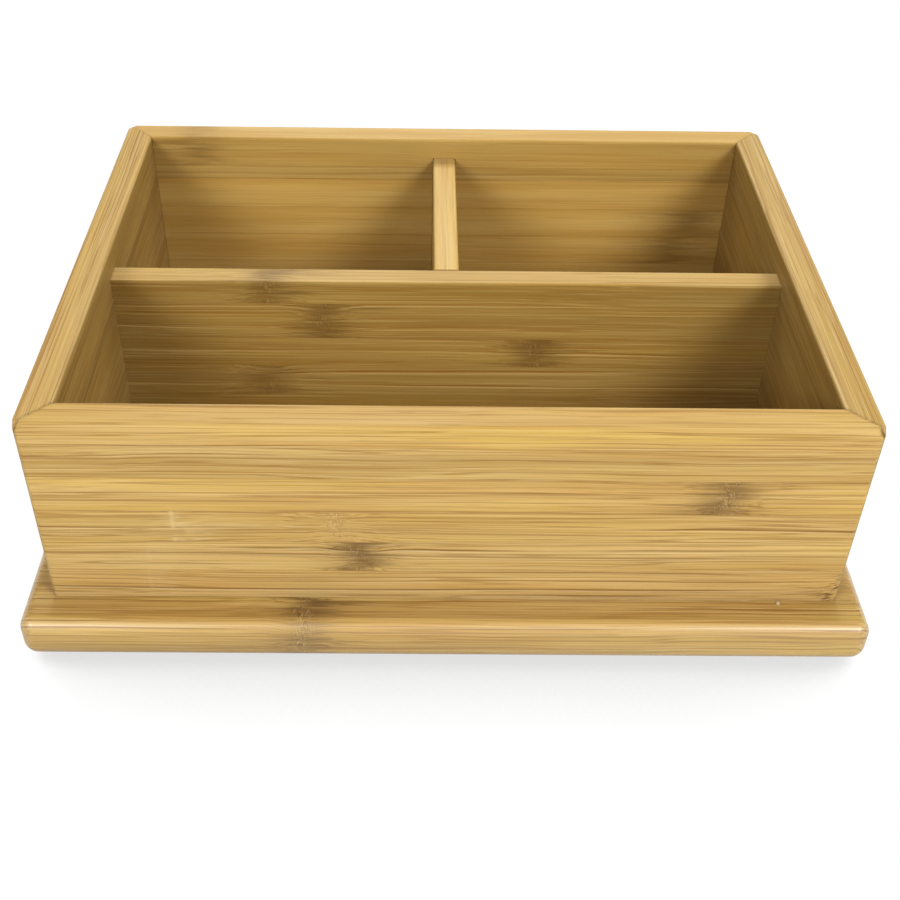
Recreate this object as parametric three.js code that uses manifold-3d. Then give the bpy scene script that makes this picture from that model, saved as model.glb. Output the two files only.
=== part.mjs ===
// Bamboo amenity caddy: a mitred box with three open pockets, standing on a wider base board.
// Millimetres, +Z up, front towards -Y. The origin is on the table, under the middle of the caddy.
import * as THREE from "three";
import { RoundedBoxGeometry } from "three/addons/geometries/RoundedBoxGeometry.js";
import { mergeVertices, toCreasedNormals } from "three/addons/utils/BufferGeometryUtils.js";
import Module from "manifold-3d";

// The box: four mitred walls
const BOX_WIDTH = 228;
const BOX_DEPTH = 173;
const WALL_HEIGHT = 64;
const WALL_THICKNESS = 9.5;
const WALL_EDGE_EASE = 1;
const BOX_CORNER_EASE = 1.5;
const RIM_TIP_EASE = 2.1;

// The base board, which is also the floor of the pockets
const BASE_THICKNESS = 14;
const BASE_SIDE_OVERHANG = 8.5;
const BASE_FRONT_OVERHANG = 11.5;
const BASE_EDGE_RADIUS = 4.5;

// The dividers
const DIVIDER_THICKNESS = 8;
const DIVIDER_DROP = 7.5;
const DIVIDER_EDGE_EASE = 0.8;
const FRONT_POCKET_DEPTH = 71;

// The joints: housings for the dividers, blind splines in the mitres, and the glue line that every joint has
const GLUE_LINE = 0.1;
const HOUSING_DEPTH = 3;
const TONGUE_DEPTH = 2.5;
const TONGUE_SHOULDER = 9;
const SPLINE_WIDTH = 7;
const SPLINE_THICKNESS = 2.5;
const SPLINE_HEIGHT = 52;
const SPLINE_INSET = 4.5;

// Countersunk wood screws, up through the base into the lower edges of the walls
const SCREW_LENGTH = 25;
const SCREW_SHANK_RADIUS = 1.5;
const SCREW_HEAD_RADIUS = 3;
const SCREW_HEAD_RIM = 0.3;
const SCREW_TIP_LENGTH = 4;
const SCREW_SINK = 0.4;
const SCREW_CLEARANCE = 0.2;
const SCREW_SPACING_ALONG_FRONT = 140;
const SCREW_SPACING_ALONG_SIDE = 84;
const RECESS_SPAN = 3.4;
const RECESS_WIDTH = 0.8;
const RECESS_DEPTH = 1.2;

// Soft stick-on feet
const FOOT_RADIUS = 7;
const FOOT_HEIGHT = 2;
const FOOT_EDGE_RADIUS = 0.8;
const FOOT_INSET = 20;

// Levels and places that follow from the sizes above
const BASE_BOTTOM = FOOT_HEIGHT;
const BASE_TOP = BASE_BOTTOM + BASE_THICKNESS;
const BOARD_BOTTOM = BASE_TOP + GLUE_LINE;
const BASE_WIDTH = BOX_WIDTH + 2 * BASE_SIDE_OVERHANG;
const BASE_DEPTH = BOX_DEPTH + 2 * BASE_FRONT_OVERHANG;
const INNER_WIDTH = BOX_WIDTH - 2 * WALL_THICKNESS;
const INNER_DEPTH = BOX_DEPTH - 2 * WALL_THICKNESS;
const DIVIDER_HEIGHT = WALL_HEIGHT - DIVIDER_DROP;
const CROSS_DIVIDER_Y = -INNER_DEPTH / 2 + FRONT_POCKET_DEPTH + DIVIDER_THICKNESS / 2;
const DIVIDER_GROOVE = DIVIDER_THICKNESS + 2 * GLUE_LINE;
const SCREW_LEVEL = BASE_BOTTOM + SCREW_SINK + SCREW_HEAD_RIM;

const ARC_STEPS = 6;
const ROUND_STEPS = 24;
const CUT_OVERSHOOT = 1;
const CREASE_ANGLE = Math.PI / 5;
const QUARTER_TURN = Math.PI / 2;
const EIGHTH_TURN = Math.PI / 4;

const wasm = await Module();
wasm.setup();

// Finishes

const bamboo = (color) => new THREE.MeshStandardMaterial({ color, roughness: 0.5, metalness: 0 });
const wallBamboo = bamboo(0xd3ab66);
const baseBamboo = bamboo(0xcaa160);
const dividerBamboo = bamboo(0xc89e5c);
const splineBamboo = bamboo(0xb98c4d);
const screwSteel = new THREE.MeshStandardMaterial({ color: 0xb9b4a6, roughness: 0.35, metalness: 1 });
const footRubber = new THREE.MeshStandardMaterial({ color: 0x3b3a38, roughness: 0.8, metalness: 0 });

// Solids: a closed geometry becomes a solid for cutting and joining, and a solid becomes a geometry again

function solidFrom(geometry) {
  const bare = geometry.clone();
  bare.deleteAttribute("normal");
  bare.deleteAttribute("uv");
  const merged = mergeVertices(bare);
  const mesh = new wasm.Mesh({
    numProp: 3,
    vertProperties: merged.attributes.position.array,
    triVerts: new Uint32Array(merged.index.array),
  });
  return new wasm.Manifold(mesh);
}

function geometryFrom(solid) {
  const mesh = solid.getMesh();
  const geometry = new THREE.BufferGeometry();
  geometry.setAttribute("position", new THREE.BufferAttribute(mesh.vertProperties, 3));
  geometry.setIndex(new THREE.BufferAttribute(mesh.triVerts, 1));
  return toCreasedNormals(geometry, CREASE_ANGLE);
}

function part(name, geometry, material, x = 0, y = 0, z = 0, turn = 0) {
  const mesh = new THREE.Mesh(geometry, material);
  mesh.name = name;
  mesh.position.set(x, y, z);
  mesh.rotation.z = turn;
  return mesh;
}

function block(width, depth, height, x, y, bottom, turn = 0) {
  const geometry = new THREE.BoxGeometry(width, depth, height);
  geometry.rotateZ(turn);
  geometry.translate(x, y, bottom + height / 2);
  return solidFrom(geometry);
}

// A board lies along X with its outer face on y = 0 and its lower edge on z = 0. Its two upper edges are eased.
function board(length, thickness, height, ease) {
  const section = new THREE.Shape();
  section.moveTo(0, 0);
  section.lineTo(thickness, 0);
  section.absarc(thickness - ease, height - ease, ease, 0, QUARTER_TURN);
  section.absarc(ease, height - ease, ease, QUARTER_TURN, Math.PI);
  section.lineTo(0, 0);
  const options = { depth: length, bevelEnabled: false, curveSegments: ARC_STEPS };
  const geometry = new THREE.ExtrudeGeometry(section, options);
  const across = new THREE.Vector3(0, 1, 0);
  const upward = new THREE.Vector3(0, 0, 1);
  const along = new THREE.Vector3(1, 0, 0);
  geometry.applyMatrix4(new THREE.Matrix4().makeBasis(across, upward, along));
  geometry.translate(-length / 2, 0, 0);
  return solidFrom(geometry);
}

function roundedRectangle(width, depth, radius) {
  const outline = new THREE.Shape();
  const x = width / 2 - radius;
  const y = depth / 2 - radius;
  outline.absarc(x, y, radius, 0, QUARTER_TURN);
  outline.absarc(-x, y, radius, QUARTER_TURN, Math.PI);
  outline.absarc(-x, -y, radius, Math.PI, Math.PI + QUARTER_TURN);
  outline.absarc(x, -y, radius, Math.PI + QUARTER_TURN, 2 * Math.PI);
  return outline;
}

// Screws: one turned profile gives the screw and, with a clearance, the hole that it goes through.
// z = 0 is where the head's cone begins, and the rim under it gives the head's outer face.

function turnedScrew(clearance, rim) {
  const head = SCREW_HEAD_RADIUS + clearance;
  const shank = SCREW_SHANK_RADIUS + clearance;
  const coneHeight = SCREW_HEAD_RADIUS - SCREW_SHANK_RADIUS;
  const end = SCREW_LENGTH - SCREW_HEAD_RIM + clearance;
  const profile = [
    new THREE.Vector2(0, -rim),
    new THREE.Vector2(head, -rim),
    new THREE.Vector2(head, 0),
    new THREE.Vector2(shank, coneHeight),
    new THREE.Vector2(shank, end - SCREW_TIP_LENGTH),
    new THREE.Vector2(0, end),
  ];
  const geometry = new THREE.LatheGeometry(profile, ROUND_STEPS);
  geometry.rotateX(QUARTER_TURN);
  return solidFrom(geometry);
}

function screwSolid() {
  const slot = block(RECESS_SPAN, RECESS_WIDTH, 2 * RECESS_DEPTH, 0, 0, -SCREW_HEAD_RIM - RECESS_DEPTH);
  const cross = slot.add(slot.rotate([0, 0, 90]));
  return turnedScrew(0, SCREW_HEAD_RIM).subtract(cross);
}

function screwHole(x, y, level) {
  return turnedScrew(SCREW_CLEARANCE, SCREW_LEVEL - BASE_BOTTOM + CUT_OVERSHOOT).translate([x, y, level]);
}

const screwSpots = [];
for (const [side, sign] of [["front", -1], ["rear", 1]]) {
  for (const [hand, way] of [["left", -1], ["right", 1]]) {
    const x = (way * SCREW_SPACING_ALONG_FRONT) / 2;
    const y = sign * (BOX_DEPTH / 2 - WALL_THICKNESS / 2);
    screwSpots.push({ name: `base_screw_${side}_wall_${hand}`, x, y });
  }
}
for (const [side, sign] of [["left", -1], ["right", 1]]) {
  for (const [end, way] of [["front", -1], ["rear", 1]]) {
    const x = sign * (BOX_WIDTH / 2 - WALL_THICKNESS / 2);
    const y = (way * SCREW_SPACING_ALONG_SIDE) / 2;
    screwSpots.push({ name: `base_screw_${side}_wall_${end}`, x, y });
  }
}

// Walls: a board cut to a mitre at both ends, with its outer corners eased

function mitredOutline(length) {
  const pullBack = GLUE_LINE * Math.SQRT1_2;
  const outer = length / 2 - pullBack;
  const inner = outer - WALL_THICKNESS;
  const outline = new THREE.Shape();
  outline.moveTo(-outer, 0);
  outline.lineTo(outer, 0);
  outline.lineTo(inner, WALL_THICKNESS);
  outline.lineTo(-inner, WALL_THICKNESS);
  return outline;
}

function upright(outline, height) {
  const options = { depth: height, bevelEnabled: false, curveSegments: ARC_STEPS };
  return solidFrom(new THREE.ExtrudeGeometry(outline, options));
}

function splineGroove(length, end) {
  const offset = SPLINE_INSET * Math.SQRT1_2;
  const x = end * (length / 2 - WALL_THICKNESS + offset);
  const y = WALL_THICKNESS - offset;
  const width = SPLINE_WIDTH + 2 * GLUE_LINE;
  const thickness = SPLINE_THICKNESS + 2 * GLUE_LINE;
  const height = SPLINE_HEIGHT + GLUE_LINE + CUT_OVERSHOOT;
  return block(width, thickness, height, x, y, -CUT_OVERSHOOT, end * EIGHTH_TURN);
}

// A housing is open at the board's lower edge and stops just over the divider's top.
function housing(x, innerFace, depth, height) {
  const reach = depth + CUT_OVERSHOOT;
  const middle = innerFace - depth + reach / 2;
  return block(DIVIDER_GROOVE, reach, height + GLUE_LINE + CUT_OVERSHOOT, x, middle, -CUT_OVERSHOOT);
}

// The rim's outer tips are eased by a cut across each corner, at equal angles to its three faces.
function wallSolid(length, screwSpacing, housingPlaces) {
  const corners = roundedRectangle(length, 2 * length, BOX_CORNER_EASE);
  let wall = board(length, WALL_THICKNESS, WALL_HEIGHT, WALL_EDGE_EASE);
  wall = wall.intersect(upright(mitredOutline(length), WALL_HEIGHT));
  wall = wall.intersect(upright(corners, WALL_HEIGHT).translate([0, length, 0]));
  const tipDepth = RIM_TIP_EASE - (length / 2 + WALL_HEIGHT) / Math.sqrt(3);
  for (const end of [-1, 1]) {
    wall = wall.trimByPlane([-end, 1, -1], tipDepth);
    wall = wall.subtract(splineGroove(length, end));
    const hole = screwHole((end * screwSpacing) / 2, WALL_THICKNESS / 2, SCREW_LEVEL - BOARD_BOTTOM);
    wall = wall.subtract(hole);
  }
  for (const x of housingPlaces) {
    wall = wall.subtract(housing(x, WALL_THICKNESS, HOUSING_DEPTH, DIVIDER_HEIGHT));
  }
  return wall;
}

function walls() {
  const front = wallSolid(BOX_WIDTH, SCREW_SPACING_ALONG_FRONT, []);
  const rear = wallSolid(BOX_WIDTH, SCREW_SPACING_ALONG_FRONT, [0]);
  const right = wallSolid(BOX_DEPTH, SCREW_SPACING_ALONG_SIDE, [CROSS_DIVIDER_Y]);
  const left = wallSolid(BOX_DEPTH, SCREW_SPACING_ALONG_SIDE, [-CROSS_DIVIDER_Y]);
  const halfWidth = BOX_WIDTH / 2;
  const halfDepth = BOX_DEPTH / 2;
  return [
    part("front_wall", geometryFrom(front), wallBamboo, 0, -halfDepth, BOARD_BOTTOM),
    part("rear_wall", geometryFrom(rear), wallBamboo, 0, halfDepth, BOARD_BOTTOM, Math.PI),
    part("right_wall", geometryFrom(right), wallBamboo, halfWidth, 0, BOARD_BOTTOM, QUARTER_TURN),
    part("left_wall", geometryFrom(left), wallBamboo, -halfWidth, 0, BOARD_BOTTOM, -QUARTER_TURN),
  ];
}

// Blind splines stand square to the mitres and stop below the rim

function cornerSplines() {
  const height = SPLINE_HEIGHT - GLUE_LINE;
  const geometry = new THREE.BoxGeometry(SPLINE_WIDTH, SPLINE_THICKNESS, height);
  const offset = SPLINE_INSET * Math.SQRT1_2;
  const splines = [];
  for (const [side, sy] of [["front", -1], ["rear", 1]]) {
    for (const [hand, sx] of [["left", -1], ["right", 1]]) {
      const x = sx * (INNER_WIDTH / 2 + offset);
      const y = sy * (INNER_DEPTH / 2 + offset);
      const z = BOARD_BOTTOM + GLUE_LINE + height / 2;
      const name = `corner_spline_${side}_${hand}`;
      splines.push(part(name, geometry, splineBamboo, x, y, z, -sx * sy * EIGHTH_TURN));
    }
  }
  return splines;
}

// Dividers: the cross divider is housed in both side walls, and the rear divider in the rear wall and in it

function crossDivider() {
  const length = INNER_WIDTH + 2 * (HOUSING_DEPTH - GLUE_LINE);
  const groove = housing(0, DIVIDER_THICKNESS, TONGUE_DEPTH, DIVIDER_HEIGHT - TONGUE_SHOULDER);
  const solid = board(length, DIVIDER_THICKNESS, DIVIDER_HEIGHT, DIVIDER_EDGE_EASE).subtract(groove);
  const y = CROSS_DIVIDER_Y - DIVIDER_THICKNESS / 2;
  return part("cross_divider", geometryFrom(solid), dividerBamboo, 0, y, BOARD_BOTTOM);
}

// The rear divider's front end has a tongue with a shoulder above it, so that no groove shows from above.
function rearDivider() {
  const frontFace = CROSS_DIVIDER_Y + DIVIDER_THICKNESS / 2;
  const frontEnd = frontFace - TONGUE_DEPTH + GLUE_LINE;
  const rearEnd = INNER_DEPTH / 2 + HOUSING_DEPTH - GLUE_LINE;
  const length = rearEnd - frontEnd;
  const tongueHeight = DIVIDER_HEIGHT - TONGUE_SHOULDER;
  const shoulderCut = frontFace + GLUE_LINE - frontEnd;
  const notchLength = shoulderCut + CUT_OVERSHOOT;
  const notchWidth = DIVIDER_THICKNESS + 2 * CUT_OVERSHOOT;
  const notchHeight = TONGUE_SHOULDER + CUT_OVERSHOOT;
  const notchX = -length / 2 + shoulderCut - notchLength / 2;
  const notch = block(notchLength, notchWidth, notchHeight, notchX, DIVIDER_THICKNESS / 2, tongueHeight);
  const solid = board(length, DIVIDER_THICKNESS, DIVIDER_HEIGHT, DIVIDER_EDGE_EASE).subtract(notch);
  const y = (frontEnd + rearEnd) / 2;
  const x = DIVIDER_THICKNESS / 2;
  return part("rear_divider", geometryFrom(solid), dividerBamboo, x, y, BOARD_BOTTOM, QUARTER_TURN);
}

// The base board has the same round on its edges and its corners

function basePlate() {
  const slab = new RoundedBoxGeometry(BASE_WIDTH, BASE_DEPTH, BASE_THICKNESS, ARC_STEPS, BASE_EDGE_RADIUS);
  let solid = solidFrom(slab).translate([0, 0, BASE_BOTTOM + BASE_THICKNESS / 2]);
  for (const { x, y } of screwSpots) {
    solid = solid.subtract(screwHole(x, y, SCREW_LEVEL));
  }
  return part("base_plate", geometryFrom(solid), baseBamboo);
}

function baseScrews() {
  const geometry = geometryFrom(screwSolid());
  return screwSpots.map(({ name, x, y }) => part(name, geometry, screwSteel, x, y, SCREW_LEVEL));
}

function feet() {
  const profile = new THREE.Path();
  profile.moveTo(0, 0);
  profile.lineTo(FOOT_RADIUS - FOOT_EDGE_RADIUS, 0);
  profile.absarc(FOOT_RADIUS - FOOT_EDGE_RADIUS, FOOT_EDGE_RADIUS, FOOT_EDGE_RADIUS, -QUARTER_TURN, 0);
  profile.lineTo(FOOT_RADIUS, FOOT_HEIGHT);
  profile.lineTo(0, FOOT_HEIGHT);
  const geometry = new THREE.LatheGeometry(profile.getPoints(ARC_STEPS), ROUND_STEPS);
  geometry.rotateX(QUARTER_TURN);
  const pads = [];
  for (const [side, sy] of [["front", -1], ["rear", 1]]) {
    for (const [hand, sx] of [["left", -1], ["right", 1]]) {
      const x = sx * (BASE_WIDTH / 2 - FOOT_INSET);
      const y = sy * (BASE_DEPTH / 2 - FOOT_INSET);
      pads.push(part(`foot_${side}_${hand}`, geometry, footRubber, x, y, 0));
    }
  }
  return pads;
}

const caddy = new THREE.Group();
caddy.add(basePlate(), ...walls(), ...cornerSplines(), crossDivider(), rearDivider());
caddy.add(...baseScrews(), ...feet());

export default caddy;
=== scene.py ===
import math
import random
from collections import namedtuple

import bmesh
import bpy
from mathutils import Matrix, Vector


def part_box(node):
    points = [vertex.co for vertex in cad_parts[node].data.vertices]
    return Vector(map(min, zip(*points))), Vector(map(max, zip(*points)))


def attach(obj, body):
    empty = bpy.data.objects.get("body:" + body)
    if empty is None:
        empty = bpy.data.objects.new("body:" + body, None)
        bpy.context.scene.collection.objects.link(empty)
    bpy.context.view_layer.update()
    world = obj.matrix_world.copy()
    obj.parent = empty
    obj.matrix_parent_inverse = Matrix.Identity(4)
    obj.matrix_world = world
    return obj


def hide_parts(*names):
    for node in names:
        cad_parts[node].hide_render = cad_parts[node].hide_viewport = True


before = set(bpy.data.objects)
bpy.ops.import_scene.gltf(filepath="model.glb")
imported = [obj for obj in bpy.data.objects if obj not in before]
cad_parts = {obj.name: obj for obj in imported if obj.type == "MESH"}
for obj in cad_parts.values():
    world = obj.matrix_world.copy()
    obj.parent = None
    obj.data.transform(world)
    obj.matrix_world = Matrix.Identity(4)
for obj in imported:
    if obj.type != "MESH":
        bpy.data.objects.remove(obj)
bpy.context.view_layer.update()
mm = 0.001


# The base board: a 14 mm panel glued up from bamboo strips that run the long way. It stands out round the
# box on all sides, its edges are routed round, and its upper face is also the floor of the pockets.

# One strip of a glued-up board: its width in mm, how light it is, how much gold and how many dark fibre
# lines it has, where its knuckle sits along the board and how smoky that is, the same of a pale scar, and
# the place past which its fibres are torn.
NOWHERE = (9999.0, 0.0)
Strip = namedtuple("Strip", "width tone gold lines knuckle scar torn", defaults=(NOWHERE, NOWHERE, 9999.0))
# A side of a board by the way it faces: its painted shade, how strongly its grain shows, its painted warm
# light.
Side = namedtuple("Side", "way shade contrast warmth")
# Where a board's mitres are: half its length and the place of its outer face. This is for one with none.
NO_MITRE = (9.0, 0.0)


def offcuts(total, reach, seed):
    """Strips as they come from the pile, enough for a board of this width, with a knuckle on some."""
    pile = random.Random(seed)
    strips = []
    while sum(strip.width for strip in strips) < total:
        has_knuckle = pile.random() < 0.4
        has_scar = pile.random() < 0.2
        strips.append(Strip(
            width=pile.uniform(10.4, 12.4),
            tone=pile.uniform(-0.5, 0.5),
            gold=pile.uniform(0.1, 0.7),
            lines=pile.uniform(0.4, 0.9),
            knuckle=(pile.uniform(-reach, reach), pile.uniform(0.2, 1.0)) if has_knuckle else NOWHERE,
            scar=(pile.uniform(-reach, reach), pile.uniform(0.2, 0.8)) if has_scar else NOWHERE,
        ))
    return strips


def write_values(mesh, name, domain, vectors):
    """Puts one vector on each point or face of a mesh, for a material to read."""
    layer = mesh.attributes.new(name, "FLOAT_VECTOR", domain)
    layer.data.foreach_set("vector", [number for vector in vectors for number in vector])


def glued_board(node, along, across, start, strips, batch, sides, mitre=NO_MITRE):
    """The node's own shape, parted at its glue lines, with its strips' wood and its sides' painted shade
    written on its faces.
    """
    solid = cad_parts[node].data
    points = [point.co[:] for point in solid.vertices]
    mesh = bpy.data.meshes.new(node + "_glued")
    mesh.from_pydata(points, [], [list(face.vertices) for face in solid.polygons])
    shape = bmesh.new()
    shape.from_mesh(mesh)
    bmesh.ops.remove_doubles(shape, verts=shape.verts, dist=0.002 * mm)
    bmesh.ops.dissolve_limit(shape, angle_limit=math.radians(0.5), verts=shape.verts, edges=shape.edges)
    borders = [start]
    for strip in strips:
        borders.append(borders[-1] + strip.width * mm)
    for border in borders[1:-1]:
        everything = shape.verts[:] + shape.edges[:] + shape.faces[:]
        bmesh.ops.bisect_plane(
            shape, geom=everything, dist=0.001 * mm, plane_co=across * border, plane_no=across,
        )
    shape.to_mesh(mesh)
    shape.free()
    past_edge = 5 * mm
    borders[0] -= past_edge
    borders[-1] += past_edge
    through = along.cross(across)
    grain = [(along.dot(point.co), across.dot(point.co), through.dot(point.co)) for point in mesh.vertices]
    write_values(mesh, "grain", "POINT", grain)
    write_values(mesh, "grain_way", "POINT", [along] * len(mesh.vertices))
    beds, woods, knuckles, scars, looks = [], [], [], [], []
    for face in mesh.polygons:
        depth = across.dot(face.center)
        place = sum(depth > border for border in borders[1:-1])
        strip = strips[place]
        middle = (borders[place] + borders[place + 1]) / 2
        beds.append((middle, borders[place + 1] - middle, batch + 0.37 * place))
        woods.append((strip.tone, strip.gold, strip.lines))
        knuckles.append((strip.knuckle[0] * mm, strip.knuckle[1], strip.torn * mm))
        scars.append((strip.scar[0] * mm, strip.scar[1], 0.0))
        # Painted light by facing: each face takes the painted shade and painted warm light of the side it
        # faces.
        look = Vector((1.0, 1.0, 0.0))
        for side in sides:
            share = min(max((face.normal.dot(side.way) - 0.3) / 0.6, 0.0), 1.0)
            look = look.lerp(Vector((side.shade, side.contrast, side.warmth)), share)
        looks.append(look)
    write_values(mesh, "bed", "FACE", beds)
    write_values(mesh, "wood", "FACE", woods)
    write_values(mesh, "knuckle", "FACE", knuckles)
    write_values(mesh, "scar", "FACE", scars)
    write_values(mesh, "look", "FACE", looks)
    write_values(mesh, "mitre", "FACE", [(*mitre, 0.0)] * len(looks))
    mesh.polygons.foreach_set("use_smooth", [True] * len(mesh.polygons))
    mesh.set_sharp_from_angle(angle=math.radians(40))
    eased_tips = {key for face in mesh.polygons if min(map(abs, face.normal)) > 0.3 for key in face.edge_keys}
    for edge in mesh.edges:
        edge.use_edge_sharp = edge.use_edge_sharp and edge.key not in eased_tips
    board = bpy.data.objects.new(node + "_glued", mesh)
    bpy.context.scene.collection.objects.link(board)
    board.modifiers.new("Flat faces stay flat", "WEIGHTED_NORMAL").keep_sharp = True
    return board


class Nodes:
    """Adds nodes to one tree and links them up. A value is a socket to link, or a plain number or colour."""

    def __init__(self, tree):
        self.tree = tree

    def join(self, value, socket):
        if isinstance(value, bpy.types.NodeSocket):
            self.tree.links.new(value, socket)
        else:
            socket.default_value = value

    def add(self, kind, inputs, **settings):
        made = self.tree.nodes.new(kind)
        for name, value in settings.items():
            setattr(made, name, value)
        for name, value in inputs.items():
            self.join(value, made.inputs[name])
        return made

    def maths(self, operation, *values):
        return self.add("ShaderNodeMath", dict(enumerate(values)), operation=operation).outputs[0]

    def times(self, first, *others):
        for other in others:
            first = self.maths("MULTIPLY", first, other)
        return first

    def plus(self, first, *others):
        for other in others:
            first = self.maths("ADD", first, other)
        return first

    def minus(self, value, other):
        return self.maths("SUBTRACT", value, other)

    def stretch(self, vector, along, across):
        scale = (along, across, across)
        return self.add("ShaderNodeVectorMath", {0: vector, 1: scale}, operation="MULTIPLY").outputs[0]

    def moved(self, vector, by):
        return self.add("ShaderNodeVectorMath", {0: vector, 1: by}, operation="ADD").outputs[0]

    def noise(self, vector, detail=2.0, roughness=0.5, distortion=0.0):
        settings = {"Scale": 1.0, "Detail": detail, "Roughness": roughness, "Distortion": distortion}
        return self.add("ShaderNodeTexNoise", {"Vector": vector, **settings}).outputs["Fac"]

    def ramp(self, value, low, high, to_low=0.0, to_high=1.0):
        inputs = {"Value": value, "From Min": low, "From Max": high, "To Min": to_low, "To Max": to_high}
        return self.add("ShaderNodeMapRange", inputs, interpolation_type="SMOOTHSTEP").outputs["Result"]

    def near(self, value, target, width):
        return self.ramp(self.maths("ABSOLUTE", self.minus(value, target)), 0.0, width, 1.0, 0.0)

    def bell(self, distance, width):
        ratio = self.maths("DIVIDE", distance, width)
        return self.maths("EXPONENT", self.times(ratio, ratio, -1.0))

    def mix(self, amount, colour, other, blend="MIX"):
        inputs = {0: amount, 6: colour, 7: other}
        return self.add("ShaderNodeMix", inputs, data_type="RGBA", blend_type=blend).outputs[2]

    def written(self, name):
        return self.add("ShaderNodeAttribute", {}, attribute_name=name).outputs["Vector"]

    def parts(self, vector):
        return self.add("ShaderNodeSeparateXYZ", {"Vector": vector}).outputs

    def vector(self, x, y, z):
        return self.add("ShaderNodeCombineXYZ", {"X": x, "Y": y, "Z": z}).outputs[0]


def shader_group(name, inputs, outputs):
    """A new shader group with named sockets: its nodes, what comes into it and what it puts out."""
    tree = bpy.data.node_groups.new(name, "ShaderNodeTree")
    for socket, kind, value in inputs:
        made = tree.interface.new_socket(socket, in_out="INPUT", socket_type="NodeSocket" + kind)
        made.default_value = value
    for socket, kind in outputs:
        tree.interface.new_socket(socket, in_out="OUTPUT", socket_type="NodeSocket" + kind)
    return Nodes(tree), tree.nodes.new("NodeGroupInput").outputs, tree.nodes.new("NodeGroupOutput").inputs


# A knuckle, where the cane had a joint: a smoky patch with feathered ends and long streaks, upright
# wriggles in its middle, and fibres that draw together on both sides of it.
knot, given, puts_out = shader_group(
    "Bamboo knuckle",
    [("Grain", "Vector", (0, 0, 0)), ("Distance", "Float", 1.0), ("Offset", "Float", 0.0)],
    [("Smoke", "Float"), ("Streaks", "Float"), ("Wriggles", "Float"), ("Cracks", "Float"), ("Bend", "Float")],
)
feather = knot.minus(knot.noise(knot.stretch(given["Grain"], 30, 800)), 0.5)
ragged = knot.plus(given["Distance"], knot.times(feather, 20 * mm))
blotch = knot.ramp(knot.noise(knot.stretch(given["Grain"], 110, 220)), 0.32, 0.58, 0.75, 1.0)
knot.join(knot.times(knot.bell(ragged, 7.5 * mm), blotch), puts_out["Smoke"])
long_ragged = knot.plus(given["Distance"], knot.times(feather, 70 * mm))
streak_lines = knot.ramp(knot.noise(knot.stretch(given["Grain"], 22, 1000)), 0.5, 0.66)
knot.join(knot.times(knot.bell(long_ragged, 16 * mm), streak_lines), puts_out["Streaks"])
wriggle = knot.noise(knot.stretch(given["Grain"], 950, 340), 1.0, 0.5, 0.8)
patch = knot.ramp(knot.noise(knot.stretch(given["Grain"], 120, 240)), 0.38, 0.56)
middle = knot.times(knot.bell(given["Distance"], 3 * mm), patch)
knot.join(knot.times(knot.near(wriggle, 0.5, 0.05), middle), puts_out["Wriggles"])
knot.join(knot.times(knot.near(wriggle, 0.6, 0.045), middle), puts_out["Cracks"])
bow = knot.minus(knot.noise(knot.stretch(given["Grain"], 60, 140)), 0.5)
bow = knot.times(bow, knot.bell(given["Distance"], 13 * mm), 4 * mm)
draw_in = knot.times(given["Offset"], knot.bell(given["Distance"], 9 * mm), 0.3)
knot.join(knot.plus(bow, draw_in), puts_out["Bend"])

# The dark lines of the cane's vessels: even, nearly parallel, each with its own width and strength, coming
# and going along its length, with a painted highlight beside each, as if the light caught the cut.
fibre, given, puts_out = shader_group(
    "Fibre lines",
    [
        ("Along", "Float", 0.0),
        ("Across", "Float", 0.0),
        ("Seed", "Float", 0.0),
        ("Per metre", "Float", 350.0),
    ],
    [("Dark", "Float"), ("Bright", "Float")],
)
count = fibre.plus(fibre.times(given["Across"], given["Per metre"]), fibre.times(given["Seed"], 31.7))
number = fibre.maths("FLOOR", count)
own = fibre.vector(number, fibre.times(given["Seed"], 13.1), given["Per metre"])
own = fibre.add("ShaderNodeTexWhiteNoise", {"Vector": own}, noise_dimensions="3D").outputs["Color"]
place, strength, width = fibre.parts(own)
width = fibre.ramp(width, 0.0, 1.0, 0.09, 0.22)
aside = fibre.minus(fibre.minus(count, number), fibre.ramp(place, 0.0, 1.0, 0.3, 0.5))
reach_along = fibre.vector(fibre.times(given["Along"], 11.0), fibre.times(number, 5.3), given["Seed"])
shown = fibre.times(fibre.ramp(fibre.noise(reach_along, 1.0), 0.40, 0.58), fibre.ramp(strength, 0.25, 0.9))
fibre.join(fibre.times(fibre.near(aside, 0.0, width), shown), puts_out["Dark"])
fibre.join(fibre.times(fibre.near(aside, 0.24, width), shown), puts_out["Bright"])

# Bamboo as a glued-up board shows it: long wavy fibre lines with a painted highlight beside each, gold
# patches, knuckles, pale scars, thin glue lines between the strips, and dots of cut fibre where the grain
# ends. It also paints light and shade: each side darker or lighter and more golden by the way it faces,
# and darker in the corners.
cane, given, puts_out = shader_group(
    "Glued bamboo",
    [
        ("Straw", "Color", (0.725, 0.486, 0.172, 1)),
        ("Honey", "Color", (0.632, 0.391, 0.116, 1)),
        ("Gold", "Color", (0.760, 0.512, 0.128, 1)),
        ("Fibre", "Color", (0.295, 0.130, 0.024, 1)),
        ("Smoke", "Color", (0.160, 0.084, 0.028, 1)),
        ("Pale", "Color", (0.860, 0.650, 0.310, 1)),
        # Painted warm light: the tint that makes a face more golden, as light bounced off the bamboo would.
        ("Painted warm light", "Color", (1.030, 0.985, 0.660, 1)),
        ("Painted nook tint", "Color", (0.400, 0.455, 0.750, 1)),
        ("Line strength", "Float", 0.75),
    ],
    [("Colour", "Color"), ("Roughness", "Float"), ("Height", "Float")],
)
grain = cane.written("grain")
place_along, place_across, place_through = cane.parts(grain)
middle, half_width, seed = cane.parts(cane.written("bed"))
tone, gold_share, line_share = cane.parts(cane.written("wood"))
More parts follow.
